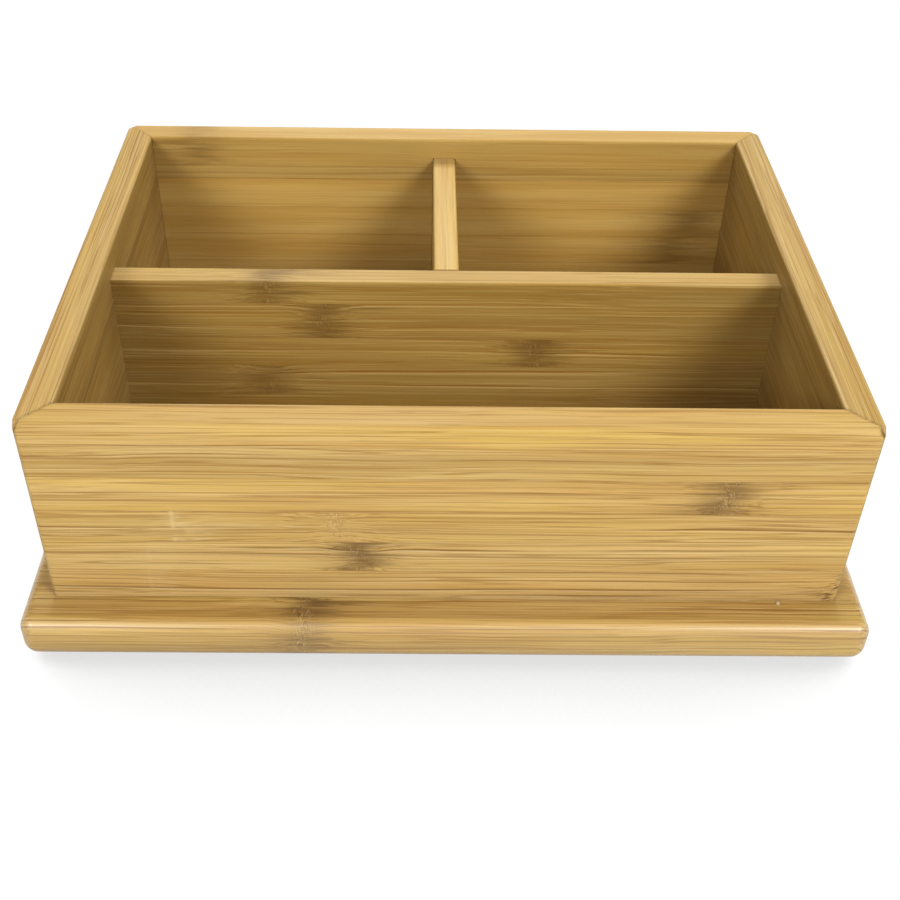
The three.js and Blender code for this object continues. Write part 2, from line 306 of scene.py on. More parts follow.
knuckle_place, smokiness, torn_place = cane.parts(cane.written("knuckle"))
scar_place, scar_strength = cane.parts(cane.written("scar"))[:2]
shade, contrast, warmth = cane.parts(cane.written("look"))
half_length, outer_face = cane.parts(cane.written("mitre"))[:2]
offset = cane.minus(place_across, middle)
own_shift = cane.vector(cane.times(seed, 0.83), cane.times(seed, 0.31), cane.times(seed, 0.57))
own_grain = cane.moved(grain, own_shift)

knuckle = cane.add("ShaderNodeGroup", {}, node_tree=knot.tree)
cane.join(own_grain, knuckle.inputs["Grain"])
cane.join(cane.minus(place_along, knuckle_place), knuckle.inputs["Distance"])
cane.join(offset, knuckle.inputs["Offset"])

wander = cane.minus(cane.noise(cane.stretch(own_grain, 12, 45), 1.5), 0.5)
sideways = cane.plus(cane.times(wander, 2.8 * mm), knuckle.outputs["Bend"])
fibres = cane.moved(own_grain, cane.vector(0.0, sideways, sideways))

clouds = cane.ramp(cane.noise(cane.stretch(fibres, 7, 130)), 0.35, 0.65)
bands = cane.minus(cane.noise(cane.stretch(fibres, 3, 300), 1.0), 0.5)
crowding = cane.times(cane.minus(cane.noise(cane.stretch(own_grain, 2, 110), 1.0), 0.5), 6 * mm)
on_face = cane.plus(place_across, cane.times(place_through, 0.85), sideways, crowding)
line_layers = []
for per_metre in (330.0, 720.0):
    layer = cane.add("ShaderNodeGroup", {}, node_tree=fibre.tree)
    cane.join(place_along, layer.inputs["Along"])
    cane.join(on_face, layer.inputs["Across"])
    cane.join(seed, layer.inputs["Seed"])
    cane.join(per_metre, layer.inputs["Per metre"])
    line_layers.append(layer.outputs)
strong_lines = cane.maths("MAXIMUM", line_layers[0]["Dark"], cane.times(line_layers[1]["Dark"], 0.6))
painted_glint_lines = cane.maths("MAXIMUM", line_layers[0]["Bright"], cane.times(line_layers[1]["Bright"], 0.5))
threads = cane.noise(cane.stretch(fibres, 6, 800), 1.0)
fine_lines = cane.near(threads, 0.55, 0.06)
hairs = cane.noise(cane.stretch(fibres, 14, 2100), 2.0, 0.6)
gold = cane.ramp(cane.noise(cane.stretch(fibres, 10, 170)), 0.46, 0.66)
pores = cane.ramp(cane.noise(cane.stretch(fibres, 60, 1300), 1.0), 0.64, 0.76)

off_scar = cane.minus(place_along, scar_place)
broken = cane.noise(cane.stretch(own_grain, 130, 330), 1.0)
scar_bar = cane.times(cane.bell(off_scar, 0.9 * mm), cane.ramp(broken, 0.34, 0.50))
scar_film = cane.times(cane.bell(cane.minus(off_scar, 2 * mm), 5 * mm), cane.ramp(broken, 0.38, 0.58), 0.7)
scar_hairs = cane.ramp(cane.noise(cane.stretch(fibres, 70, 900)), 0.56, 0.66)
scar_hairs = cane.times(scar_hairs, cane.bell(cane.minus(off_scar, 5 * mm), 7 * mm))
scar = cane.maths("MAXIMUM", cane.maths("MAXIMUM", scar_bar, scar_film), scar_hairs)

slant = cane.plus(place_across, cane.times(place_along, 0.35))
chips = cane.noise(cane.vector(cane.times(place_along, 330.0), cane.times(slant, 1300.0), 0.0), 2.0)
past_torn = cane.plus(cane.minus(place_along, torn_place), cane.times(offset, 0.5))
torn = cane.times(cane.ramp(chips, 0.48, 0.60), cane.bell(cane.minus(past_torn, 2 * mm), 2.8 * mm))

to_border = cane.minus(half_width, cane.maths("ABSOLUTE", offset))
patchy = cane.ramp(cane.noise(cane.stretch(own_grain, 45, 0)), 0.35, 0.6, 0.25, 1.0)
glue = cane.times(cane.ramp(to_border, 0.1 * mm, 0.4 * mm, 1.0, 0.0), patchy)

depth = cane.maths("ABSOLUTE", cane.minus(place_through, outer_face))
to_mitre = cane.minus(cane.minus(half_length, depth), cane.maths("ABSOLUTE", place_along))
to_mitre = cane.plus(to_mitre, cane.times(cane.minus(hairs, 0.5), 1.6 * mm))
facing = cane.add("ShaderNodeNewGeometry", {}).outputs["Normal"]
at_front = cane.parts(cane.add("ShaderNodeTexCoord", {}).outputs["Object"])["Y"]
at_front = cane.ramp(at_front, -40 * mm, 40 * mm, 1.0, 0.25)
on_rim = cane.ramp(cane.parts(facing)["Z"], 0.05, 0.4, 0.1, 1.0)
opened = cane.times(cane.ramp(hairs, 0.4, 0.6, 0.12, 0.42), at_front, on_rim)
seam = cane.times(cane.ramp(to_mitre, 0.1 * mm, 0.8 * mm, 1.0, 0.0), opened)
# Painted shade: the colour is darker and greyer where other faces close round it, in the corners, under the
# walls and beside the dividers.
nook = cane.add("ShaderNodeAmbientOcclusion", {"Distance": 45 * mm}, samples=3).outputs["AO"]
painted_nook_shadow = cane.ramp(nook, 0.35, 0.95, 0.48, 0.0)

colour = cane.mix(clouds, given["Honey"], given["Straw"])
gold_amount = cane.times(gold, gold_share, contrast)
colour = cane.mix(gold_amount, colour, given["Gold"])
lightness = cane.plus(cane.times(tone, 0.10), cane.times(bands, 0.35, contrast))
# Painted shade or light for the way the face looks.
lightness = cane.times(cane.plus(lightness, 1.0), shade)
colour = cane.mix(1.0, colour, cane.vector(lightness, lightness, lightness), "MULTIPLY")
line_amount = cane.times(strong_lines, line_share, given["Line strength"], contrast)
colour = cane.mix(line_amount, colour, given["Fibre"])
# Painted highlight beside each fibre line.
colour = cane.mix(cane.times(painted_glint_lines, line_share, contrast, 0.55), colour, given["Pale"])
colour = cane.mix(cane.times(fine_lines, line_share, contrast, 0.42), colour, given["Fibre"])
colour = cane.mix(cane.times(cane.ramp(hairs, 0.50, 0.72), contrast, 0.28), colour, given["Fibre"])
colour = cane.mix(cane.times(cane.ramp(hairs, 0.48, 0.30), contrast, 0.28), colour, given["Pale"])
colour = cane.mix(cane.times(pores, contrast, 0.20), colour, given["Fibre"])
colour = cane.mix(cane.times(glue, 0.34), colour, given["Fibre"])
colour = cane.mix(cane.times(scar, scar_strength, 0.55), colour, given["Pale"])
colour = cane.mix(cane.times(torn, 0.8), colour, given["Smoke"])
smokiness = cane.times(smokiness, contrast)
colour = cane.mix(cane.times(knuckle.outputs["Streaks"], smokiness, 0.55), colour, given["Smoke"])
colour = cane.mix(cane.times(knuckle.outputs["Smoke"], smokiness, 0.76), colour, given["Smoke"])
crispness = cane.ramp(contrast, 0.75, 1.05)
colour = cane.mix(cane.times(knuckle.outputs["Cracks"], crispness, 0.55), colour, given["Smoke"])
pale_wriggles = cane.ramp(smokiness, 0.0, 1.0, 0.6, 0.35)
pale_wriggles = cane.times(knuckle.outputs["Wriggles"], pale_wriggles, crispness)
colour = cane.mix(pale_wriggles, colour, given["Pale"])
colour = cane.mix(seam, colour, given["Smoke"])
# Painted shade in the corners.
colour = cane.mix(painted_nook_shadow, colour, cane.mix(1.0, colour, given["Painted nook tint"], "MULTIPLY"))
# Painted warm light: the faces that look into the box are made more golden, as bounced light would make them.
colour = cane.mix(warmth, colour, cane.mix(1.0, colour, given["Painted warm light"], "MULTIPLY"))

end_on = cane.add("ShaderNodeVectorMath", {0: facing, 1: cane.written("grain_way")}, operation="DOT_PRODUCT")
end_grain = cane.ramp(cane.maths("ABSOLUTE", end_on.outputs["Value"]), 0.6, 0.9)
cut_fibres = cane.add("ShaderNodeTexVoronoi", {"Vector": cane.stretch(own_grain, 0, 1500), "Scale": 1.0})
dots = cane.ramp(cut_fibres.outputs["Distance"], 0.22, 0.45, 0.5, 0.0)
end_colour = cane.mix(dots, cane.mix(0.35, colour, given["Honey"]), given["Fibre"])
colour = cane.mix(end_grain, colour, cane.mix(0.25, end_colour, given["Fibre"]))

grooves = cane.plus(cane.times(line_amount, 0.6), cane.times(hairs, 0.5), cane.times(glue, 0.5), pores)
grooves = cane.plus(grooves, cane.times(knuckle.outputs["Cracks"], 0.8), torn)
cane.join(colour, puts_out["Colour"])
cane.join(cane.plus(cane.times(grooves, 0.12), 0.40), puts_out["Roughness"])
cane.join(cane.times(grooves, -1.0), puts_out["Height"])


def new_finish(name):
    """A new material: itself, its nodes and the sockets of its shader."""
    material = bpy.data.materials.new(name)
    material.use_nodes = True
    nodes = Nodes(material.node_tree)
    return material, nodes, nodes.tree.nodes["Principled BSDF"].inputs


def lacquered_bamboo(name, gloss, coat, line_strength):
    """Bamboo under a satin clear lacquer, which shines most on a round edge and least on a flat top."""
    material, nodes, finish = new_finish(name)
    wood = nodes.add("ShaderNodeGroup", {}, node_tree=cane.tree)
    nodes.join(line_strength, wood.inputs["Line strength"])
    grooves = {"Height": wood.outputs["Height"], "Strength": 0.35, "Distance": 0.12 * mm}
    nodes.join(wood.outputs["Colour"], finish["Base Color"])
    nodes.join(wood.outputs["Roughness"], finish["Roughness"])
    nodes.join(nodes.add("ShaderNodeBump", grooves).outputs["Normal"], finish["Normal"])
    nodes.join(gloss, finish["Specular IOR Level"])
    if coat:
        level = nodes.parts(nodes.add("ShaderNodeNewGeometry", {}).outputs["Normal"])["Z"]
        off_upright = nodes.ramp(level, 0.1, 0.45, 0.45, 1.0)
        off_flat = nodes.ramp(level, 0.75, 0.98, 1.0, 0.15)
        nodes.join(nodes.times(off_upright, off_flat, coat), finish["Coat Weight"])
        nodes.join(0.38, finish["Coat Roughness"])
        nodes.join(1.8, finish["Coat IOR"])
    return material


def finish_board(board, node, material):
    """Lacquers a board and sets it in its node's place."""
    board.data.materials.append(material)
    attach(board, "root")
    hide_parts(node)


rightwards = Vector((1, 0, 0))
backwards = Vector((0, 1, 0))
upwards = Vector((0, 0, 1))
base_low, base_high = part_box("base_plate")
base_strips = [
    Strip(4.0, 0.2, 0.3, 0.8, (-41, 0.5)),
    Strip(8.0, -0.2, 0.8, 1.0, (-41, 1.0)),
] + offcuts(total=184, reach=115, seed=11)
base_bamboo = lacquered_bamboo("base_bamboo", gloss=0.15, coat=1.0, line_strength=0.95)
# Painted shade by facing: the top is darker where the walls shade it, and both sides get painted warm light.
base_sides = [Side(upwards, 0.90, 1.1, 0.4), Side(-backwards, 1.03, 1.2, 0.4)]
base_board = glued_board(
    "base_plate", along=rightwards, across=backwards, start=base_low.y,
    strips=base_strips, batch=1.0, sides=base_sides,
)
finish_board(base_board, "base_plate", base_bamboo)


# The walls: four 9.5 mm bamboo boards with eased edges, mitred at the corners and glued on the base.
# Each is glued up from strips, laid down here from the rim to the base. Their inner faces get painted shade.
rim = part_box("front_wall")[1].z
wall_bamboo = lacquered_bamboo("wall_bamboo", gloss=0.12, coat=0.0, line_strength=0.95)
wall_strips = {
    "front_wall": [
        Strip(7.4, 0.6, 1.0, 1.2),
        Strip(10.8, -0.7, 0.2, 1.3),
        Strip(12.1, 0.4, 0.5, 1.1, (76, 0.9)),
        Strip(11.4, -0.2, 0.3, 1.3, (-31, 0.0), (-76, 1.0)),
        Strip(11.2, 0.4, 0.6, 1.1, (-25, 1.0), (-84, 0.3)),
        Strip(12.2, 0.8, 0.1, 1.0, NOWHERE, (-85, 0.4), 109),
    ],
    "rear_wall": [
        Strip(11.0, -0.5, 0.3, 0.5, (-89, 1.0)),
        Strip(5.0, -1.4, 0.1, 0.8),
        Strip(11.5, 0.3, 0.2, 0.4),
        # The smoky knuckles near the right end of these two strips are painted shadow: a dark patch standing
        # in for the shade low in the rear right corner.
        Strip(11.5, 0.0, 0.3, 0.4, (92, 0.9)),
        Strip(11.5, 0.2, 0.2, 0.5, (86, 0.9)),
        Strip(14.5, -0.2, 0.3, 0.5),
    ],
    "left_wall": [
        Strip(5.0, 0.4, 0.3, 1.0),
        Strip(10.0, 1.0, 0.2, 0.8),
        Strip(3.5, -2.0, 0.1, 1.0),
    ] + offcuts(total=46, reach=80, seed=23),
    "right_wall": [
        Strip(8.0, 0.3, 0.3, 1.0),
        Strip(9.5, -0.8, 0.2, 0.8),
    ] + offcuts(total=47, reach=80, seed=29),
}
# Painted shade and light by facing: the inner faces are darker and more golden, the rims lighter or darker.
wall_sides = {
    "front_wall": [Side(upwards, 0.92, 0.8, 0.25), Side(backwards, 0.62, 0.6, 0.6)],
    "rear_wall": [Side(upwards, 1.07, 0.4, 0.0), Side(-backwards, 0.95, 0.5, 0.6)],
    "left_wall": [Side(upwards, 0.86, 1.3, 0.0), Side(rightwards, 0.65, 1.0, 0.5)],
    "right_wall": [Side(upwards, 0.81, 1.0, 0.0), Side(-rightwards, 0.55, 0.9, 0.6)],
}
for batch, (node, strips) in enumerate(wall_strips.items()):
    way = rightwards if node in ("front_wall", "rear_wall") else backwards
    low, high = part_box(node)
    outer_faces = {"front_wall": low.y, "rear_wall": high.y, "left_wall": -low.x, "right_wall": -high.x}
    mitre = (high.dot(way), outer_faces[node])
    wall = glued_board(
        node, along=way, across=-upwards, start=-rim,
        strips=strips, batch=30.0 + 7 * batch, sides=wall_sides[node], mitre=mitre,
    )
    finish_board(wall, node, wall_bamboo)


# The corner splines: blind loose tongues of bare bamboo, glued across each mitre and stopped below the
# rim, so that only the mitre's fine seam shows. They keep the shape of their solids.
spline_bamboo, nodes, bare_wood = new_finish("spline_bamboo")
upright = nodes.add("ShaderNodeMapping", {"Scale": (900, 900, 30)})
nodes.join(nodes.add("ShaderNodeTexCoord", {}).outputs["Object"], upright.inputs["Vector"])
streaks = nodes.noise(upright.outputs["Vector"], 3.0)
bare = nodes.mix(nodes.ramp(streaks, 0.4, 0.65), (0.56, 0.33, 0.10, 1), (0.34, 0.18, 0.05, 1))
nodes.join(bare, bare_wood["Base Color"])
nodes.join(nodes.ramp(streaks, 0.3, 0.7, 0.6, 0.8), bare_wood["Roughness"])
for corner in ("front_left", "front_right", "rear_left", "rear_right"):
    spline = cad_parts["corner_spline_" + corner].data
    spline.materials.clear()
    spline.materials.append(spline_bamboo)


# The dividers: 8 mm bamboo boards, lower than the rim. The long one is let into both side walls, and the
# short one runs from it to the rear wall. They stand on the base and take the same lacquer.
divider_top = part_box("cross_divider")[1].z
divider_bamboo = lacquered_bamboo("divider_bamboo", gloss=0.12, coat=0.0, line_strength=0.9)
cross_strips = [
    Strip(8.0, 0.0, 0.4, 1.0, (-56, 0.9)),
    Strip(13.0, -0.3, 0.4, 1.0, (-39, 0.9)),
    Strip(11.0, 0.1, 0.3, 1.0, (29, 1.0)),
    Strip(12.0, 0.2, 0.3, 1.0, (-58, 0.7)),
    Strip(13.0, 0.0, 0.3, 0.6),
]
# Painted shade by facing: the faces down in the pockets are darker and more golden.
cross_sides = [
    Side(upwards, 0.90, 0.8, 0.1),
    Side(backwards, 0.61, 0.9, 0.75),
    Side(-backwards, 0.61, 0.9, 0.75),
]
cross_divider = glued_board(
    "cross_divider", along=rightwards, across=-upwards, start=-divider_top,
    strips=cross_strips, batch=71.0, sides=cross_sides,
)
finish_board(cross_divider, "cross_divider", divider_bamboo)
rear_strips = [Strip(9.0, 0.8, 0.5, 0.3)] + offcuts(total=48, reach=35, seed=41)
# Painted shade by facing: the faces down in the pockets are darker and more golden.
rear_sides = [
    Side(upwards, 0.95, 0.8, 0.0),
    Side(rightwards, 0.74, 0.7, 0.4),
    Side(-rightwards, 0.74, 0.7, 0.4),
]
rear_divider = glued_board(
    "rear_divider", along=backwards, across=-upwards, start=-divider_top,
    strips=rear_strips, batch=83.0, sides=rear_sides,
)
finish_board(rear_divider, "rear_divider", divider_bamboo)


# The base screws: eight countersunk wood screws of zinc-plated steel, driven up through the base into the
# lower edges of the walls. Each has a turned head and shank, a rolled thread and a pressed cross.
def geometry_tree(name, inputs):
    """A new geometry tree with named inputs: its nodes, what comes into it and what it puts out."""
    tree = bpy.data.node_groups.new(name, "GeometryNodeTree")
    tree.interface.new_socket("Geometry", in_out="INPUT", socket_type="NodeSocketGeometry")
    for socket, kind, value in inputs:
        made = tree.interface.new_socket(socket, in_out="INPUT", socket_type="NodeSocket" + kind)
        made.default_value = value
    tree.interface.new_socket("Geometry", in_out="OUTPUT", socket_type="NodeSocketGeometry")
    return Nodes(tree), tree.nodes.new("NodeGroupInput").outputs, tree.nodes.new("NodeGroupOutput").inputs


def joined(nodes, pieces):
    """Several pieces of geometry as one."""
    together = nodes.add("GeometryNodeJoinGeometry", {})
    for piece in pieces:
        nodes.join(piece, together.inputs["Geometry"])
    return together.outputs["Geometry"]


def turned(nodes, profile, facets):
    """A closed turned solid from a profile of radius and height, from the middle of one end to the other."""
    rings = []
    for (radius, height), (next_radius, next_height) in zip(profile, profile[1:]):
        if radius == 0 or next_radius == 0 and height == next_height:
            disc_inputs = {"Vertices": facets, "Radius": max(radius, next_radius)}
            ring = nodes.add("GeometryNodeMeshCircle", disc_inputs, fill_type="NGON").outputs["Mesh"]
            if radius == 0:
                ring = nodes.add("GeometryNodeFlipFaces", {"Mesh": ring}).outputs["Mesh"]
        else:
            cone_inputs = {"Vertices": facets, "Radius Bottom": radius, "Radius Top": next_radius}
            cone_inputs["Depth"] = next_height - height
            ring = nodes.add("GeometryNodeMeshCone", cone_inputs, fill_type="NONE").outputs["Mesh"]
        placed = nodes.add("GeometryNodeTransform", {"Geometry": ring, "Translation": (0, 0, height)})
        rings.append(placed.outputs["Geometry"])
    closing = {"Geometry": joined(nodes, rings), "Distance": 0.001 * mm}
    return nodes.add("GeometryNodeMergeByDistance", closing).outputs["Geometry"]


def four_corners(nodes, width, depth):
    """The corners of a rectangle, as four points."""
    corners = {"Size X": width, "Size Y": depth, "Vertices X": 2, "Vertices Y": 2}
    return nodes.add("GeometryNodeMeshGrid", corners).outputs["Mesh"]


def set_out(nodes, piece, spots, turn_seed):
    """One piece at each spot, each turned as it came to hand."""
    turn = nodes.add("FunctionNodeRandomValue", {"Seed": turn_seed}, data_type="FLOAT_VECTOR")
    turn.inputs["Max"].default_value = (0, 0, math.tau)
    placed = {"Points": spots, "Instance": piece, "Rotation": turn.outputs["Value"]}
    return nodes.add("GeometryNodeInstanceOnPoints", placed).outputs["Instances"]


def in_finish(nodes, pieces, material):
    """The last steps of a tree: real geometry in its finish."""
    real = nodes.add("GeometryNodeRealizeInstances", {"Geometry": pieces}).outputs["Geometry"]
    finished = nodes.add("GeometryNodeSetMaterial", {"Geometry": real, "Material": material})
    return finished.outputs["Geometry"]


def run_tree(tree, name, values, smooth_below):
    """Runs a geometry tree with these inputs, and keeps what it makes as a plain mesh."""
    piece = bpy.data.objects.new(name, bpy.data.meshes.new(name + "_start"))
    bpy.context.scene.collection.objects.link(piece)
    steps = piece.modifiers.new("Steps", "NODES")
    steps.node_group = tree
    for socket in tree.interface.items_tree:
        if socket.name in values:
            steps[socket.identifier] = values[socket.name]
    evaluated = piece.evaluated_get(bpy.context.evaluated_depsgraph_get())
    mesh = bpy.data.meshes.new_from_object(evaluated)
    piece.modifiers.remove(steps)
    piece.data = mesh
    mesh.polygons.foreach_set("use_smooth", [True] * len(mesh.polygons))
    mesh.set_sharp_from_angle(angle=math.radians(smooth_below))
    return piece


screw_steel, nodes, plating = new_finish("screw_steel")
place = nodes.add("ShaderNodeTexCoord", {}).outputs["Object"]
spangle = nodes.noise(nodes.stretch(place, 900, 900), 3.0)
zinc = nodes.mix(nodes.ramp(spangle, 0.35, 0.7), (0.58, 0.57, 0.53, 1), (0.46, 0.43, 0.36, 1))
scuffs = nodes.noise(nodes.stretch(place, 300, 4000), 2.0)
scuff_relief = nodes.add("ShaderNodeBump", {"Height": scuffs, "Strength": 0.2, "Distance": 0.02 * mm})
nodes.join(zinc, plating["Base Color"])
nodes.join(0.9, plating["Metallic"])
nodes.join(nodes.ramp(spangle, 0.3, 0.7, 0.28, 0.45), plating["Roughness"])
nodes.join(scuff_relief.outputs["Normal"], plating["Normal"])

screw_set, given, puts_out = geometry_tree("Wood screws", [
    ("Front spacing", "Float", 0.14),
    ("Front to rear", "Float", 0.16),
    ("Side spacing", "Float", 0.08),
    ("Left to right", "Float", 0.21),
    ("Level", "Float", 0.0),
    ("Turn seed", "Int", 5),
])
head_radius, shank_radius, core_radius, tip_radius = 3.0 * mm, 1.5 * mm, 1.1 * mm, 0.15 * mm
shank_end, thread_end = 7 * mm, 21 * mm
blank = turned(screw_set, [
    (0, 0),
    (head_radius, 0),
    (head_radius, 0.3 * mm),
    (shank_radius, 1.8 * mm),
    (shank_radius, shank_end),
    (core_radius, shank_end + 0.4 * mm),
    (core_radius, thread_end),
    (tip_radius, 24.6 * mm),
    (0, 25 * mm),
], 32)
cross_span, cross_width, cross_height = 3.4 * mm, 0.8 * mm, 2.4 * mm
crossed = screw_set.add("GeometryNodeMeshBoolean", {"Mesh 1": blank}, operation="DIFFERENCE", solver="EXACT")
for size in ((cross_span, cross_width, cross_height), (cross_width, cross_span, cross_height)):
    cut = screw_set.add("GeometryNodeMeshCube", {"Size": size}).outputs["Mesh"]
    screw_set.join(cut, crossed.inputs["Mesh 2"])
thread_radius, thread_start, crest_radius = 1.08 * mm, 7.6 * mm, 0.36 * mm
helix = {"Resolution": 20, "Rotations": 10.0, "Height": 13.2 * mm}
helix.update({"Start Radius": thread_radius, "End Radius": thread_radius})
helix = screw_set.add("GeometryNodeCurveSpiral", helix).outputs["Curve"]
crest = screw_set.add("GeometryNodeCurvePrimitiveCircle", {"Resolution": 4, "Radius": crest_radius})
thread = {"Curve": helix, "Profile Curve": crest.outputs["Curve"], "Fill Caps": True}
thread = screw_set.add("GeometryNodeCurveToMesh", thread).outputs["Mesh"]
thread = {"Geometry": thread, "Translation": (0, 0, thread_start)}
thread = screw_set.add("GeometryNodeTransform", thread).outputs["Geometry"]
screw = joined(screw_set, [crossed.outputs["Mesh"], thread])
spots = joined(screw_set, [
    four_corners(screw_set, given["Front spacing"], given["Front to rear"]),
    four_corners(screw_set, given["Left to right"], given["Side spacing"]),
])
driven = {"Geometry": set_out(screw_set, screw, spots, given["Turn seed"])}
driven["Translation"] = screw_set.vector(0.0, 0.0, given["Level"])
driven = screw_set.add("GeometryNodeTransform", driven).outputs["Geometry"]
screw_set.join(in_finish(screw_set, driven, screw_steel), puts_out["Geometry"])


def middle_of(node):
    """The middle of a node's box."""
    low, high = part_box(node)
    return (low + high) / 2


front_left, rear_right = middle_of("base_screw_front_wall_left"), middle_of("base_screw_rear_wall_right")
left_front, right_rear = middle_of("base_screw_left_wall_front"), middle_of("base_screw_right_wall_rear")
base_screws = run_tree(screw_set.tree, "base_screws", {
    "Front spacing": rear_right.x - front_left.x,
    "Front to rear": rear_right.y - front_left.y,
    "Side spacing": right_rear.y - left_front.y,
    "Left to right": right_rear.x - left_front.x,
    "Level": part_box("base_screw_front_wall_left")[0].z,
    "Turn seed": 5,
}, smooth_below=30)
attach(base_screws, "root")
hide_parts(*["base_screw_" + wall + "_wall_" + end
                           for wall, ends in (("front", ("left", "right")), ("rear", ("left", "right")),
                                              ("left", ("front", "rear")), ("right", ("front", "rear")))
                           for end in ends])


# The feet: four soft stick-on pads of dark rubber under the corners of the base, with a moulded ring in
# their lower face and a round lower edge.
foot_rubber, nodes, rubber = new_finish("foot_rubber")
place = nodes.add("ShaderNodeTexCoord", {}).outputs["Object"]
bloom = nodes.noise(nodes.stretch(place, 260, 260), 3.0)
grit = nodes.noise(nodes.stretch(place, 3500, 3500), 2.0)
dusty = nodes.mix(nodes.ramp(bloom, 0.4, 0.75), (0.035, 0.034, 0.032, 1), (0.075, 0.071, 0.066, 1))
grit_relief = nodes.add("ShaderNodeBump", {"Height": grit, "Strength": 0.3, "Distance": 0.05 * mm})
nodes.join(dusty, rubber["Base Color"])
nodes.join(nodes.ramp(grit, 0.3, 0.7, 0.7, 0.9), rubber["Roughness"])
nodes.join(grit_relief.outputs["Normal"], rubber["Normal"])

foot_set, given, puts_out = geometry_tree("Stick-on feet", [
    ("Left to right", "Float", 0.2),
    ("Front to rear", "Float", 0.15),
    ("Turn seed", "Int", 3),
])
pad_radius, pad_height, pad_round = 7.0 * mm, 2.0 * mm, 0.8 * mm
hollow_radius, hollow_depth = 3.4 * mm, 0.25 * mm
pad_profile = [(0, hollow_depth), (hollow_radius, hollow_depth), (hollow_radius + 0.3 * mm, 0.26 * mm)]
for degrees in range(-90, 1, 15):
    swing = math.radians(degrees)
    out, up = pad_round * math.cos(swing), pad_round * math.sin(swing)
    pad_profile.append((pad_radius - pad_round + out, pad_round + up))
pad_profile += [(pad_radius, pad_height), (0, pad_height)]
pad = turned(foot_set, pad_profile, 48)
corners = four_corners(foot_set, given["Left to right"], given["Front to rear"])
stuck = set_out(foot_set, pad, corners, given["Turn seed"])
foot_set.join(in_finish(foot_set, stuck, foot_rubber), puts_out["Geometry"])
front_left, rear_right = middle_of("foot_front_left"), middle_of("foot_rear_right")
feet = run_tree(foot_set.tree, "feet", {
    "Left to right": rear_right.x - front_left.x,
    "Front to rear": rear_right.y - front_left.y,
    "Turn seed": 3,
}, smooth_below=40)
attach(feet, "root")
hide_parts("foot_front_left", "foot_front_right", "foot_rear_left", "foot_rear_right")


# The squeezed-out glue: a thin dried line all round the foot of the walls, thicker in places, with a few
# beads that were not wiped off.
dried_glue, nodes, resin = new_finish("dried_glue")
place = nodes.add("ShaderNodeTexCoord", {}).outputs["Object"]
haze = nodes.noise(nodes.stretch(place, 120, 120), 3.0)
clouded = nodes.mix(nodes.ramp(haze, 0.4, 0.7), (0.52, 0.38, 0.20, 1), (0.74, 0.61, 0.42, 1))
haze_relief = nodes.add("ShaderNodeBump", {"Height": haze, "Strength": 0.2, "Distance": 0.1 * mm})
nodes.join(clouded, resin["Base Color"])
nodes.join(nodes.ramp(haze, 0.3, 0.7, 0.35, 0.6), resin["Roughness"])
nodes.join(haze_relief.outputs["Normal"], resin["Normal"])

glue_set, given, puts_out = geometry_tree("Squeezed glue", [
    ("Box width", "Float", 0.228),
    ("Box depth", "Float", 0.173),
    ("Level", "Float", 0.016),
    ("Line radius", "Float", 0.0005),
    ("Bead seed", "Int", 673),
])


def path_round_box(clearance):
    """A path round the foot of the walls and their eased corners, this far out from them."""
    corner_ease = 1.5 * mm
    span = {
        "Width": glue_set.plus(given["Box width"], 2 * clearance),
        "Height": glue_set.plus(given["Box depth"], 2 * clearance),
    }
    square = glue_set.add("GeometryNodeCurvePrimitiveQuadrilateral", span, mode="RECTANGLE")
    turns = {"Curve": square.outputs["Curve"], "Radius": corner_ease + clearance, "Count": 4}
    eased = glue_set.add("GeometryNodeFilletCurve", turns, mode="POLY")
    steps = {"Curve": eased.outputs["Curve"], "Count": 800}
    return glue_set.add("GeometryNodeResampleCurve", steps).outputs["Curve"]


where = glue_set.add("GeometryNodeInputPosition", {}).outputs["Position"]
swell = glue_set.ramp(glue_set.noise(glue_set.stretch(where, 90, 90), 3.0), 0.40, 0.66, 0.12, 1.0)
round_profile = {"Resolution": 6, "Radius": given["Line radius"]}
round_profile = glue_set.add("GeometryNodeCurvePrimitiveCircle", round_profile).outputs["Curve"]
glue_line = {"Curve": path_round_box(0.0), "Profile Curve": round_profile, "Scale": swell}
glue_line = glue_set.add("GeometryNodeCurveToMesh", glue_line).outputs["Mesh"]
bead_radius, bead_clearance, bead_share = 0.7 * mm, 1.5 * mm, 0.004
chance = glue_set.add("FunctionNodeRandomValue", {"Seed": given["Bead seed"]}, data_type="BOOLEAN")
chance.inputs["Probability"].default_value = bead_share
bead = glue_set.add("GeometryNodeMeshIcoSphere", {"Radius": bead_radius, "Subdivisions": 3}).outputs["Mesh"]
dropped = {"Points": path_round_box(bead_clearance), "Selection": chance.outputs[3], "Instance": bead}
beads = glue_set.add("GeometryNodeInstanceOnPoints", dropped).outputs["Instances"]
laid = {"Geometry": joined(glue_set, [glue_line, beads])}
laid["Translation"] = glue_set.vector(0.0, 0.0, given["Level"])
laid = glue_set.add("GeometryNodeTransform", laid).outputs["Geometry"]
glue_set.join(in_finish(glue_set, laid, dried_glue), puts_out["Geometry"])
box_low, box_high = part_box("left_wall")[0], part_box("right_wall")[1]
squeezed_glue = run_tree(glue_set.tree, "squeezed_glue", {
    "Box width": box_high.x - box_low.x,
    "Box depth": box_high.y - box_low.y,
    "Level": base_high.z,
    "Line radius": 0.5 * mm,
    "Bead seed": 673,
}, smooth_below=60)
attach(squeezed_glue, "root")


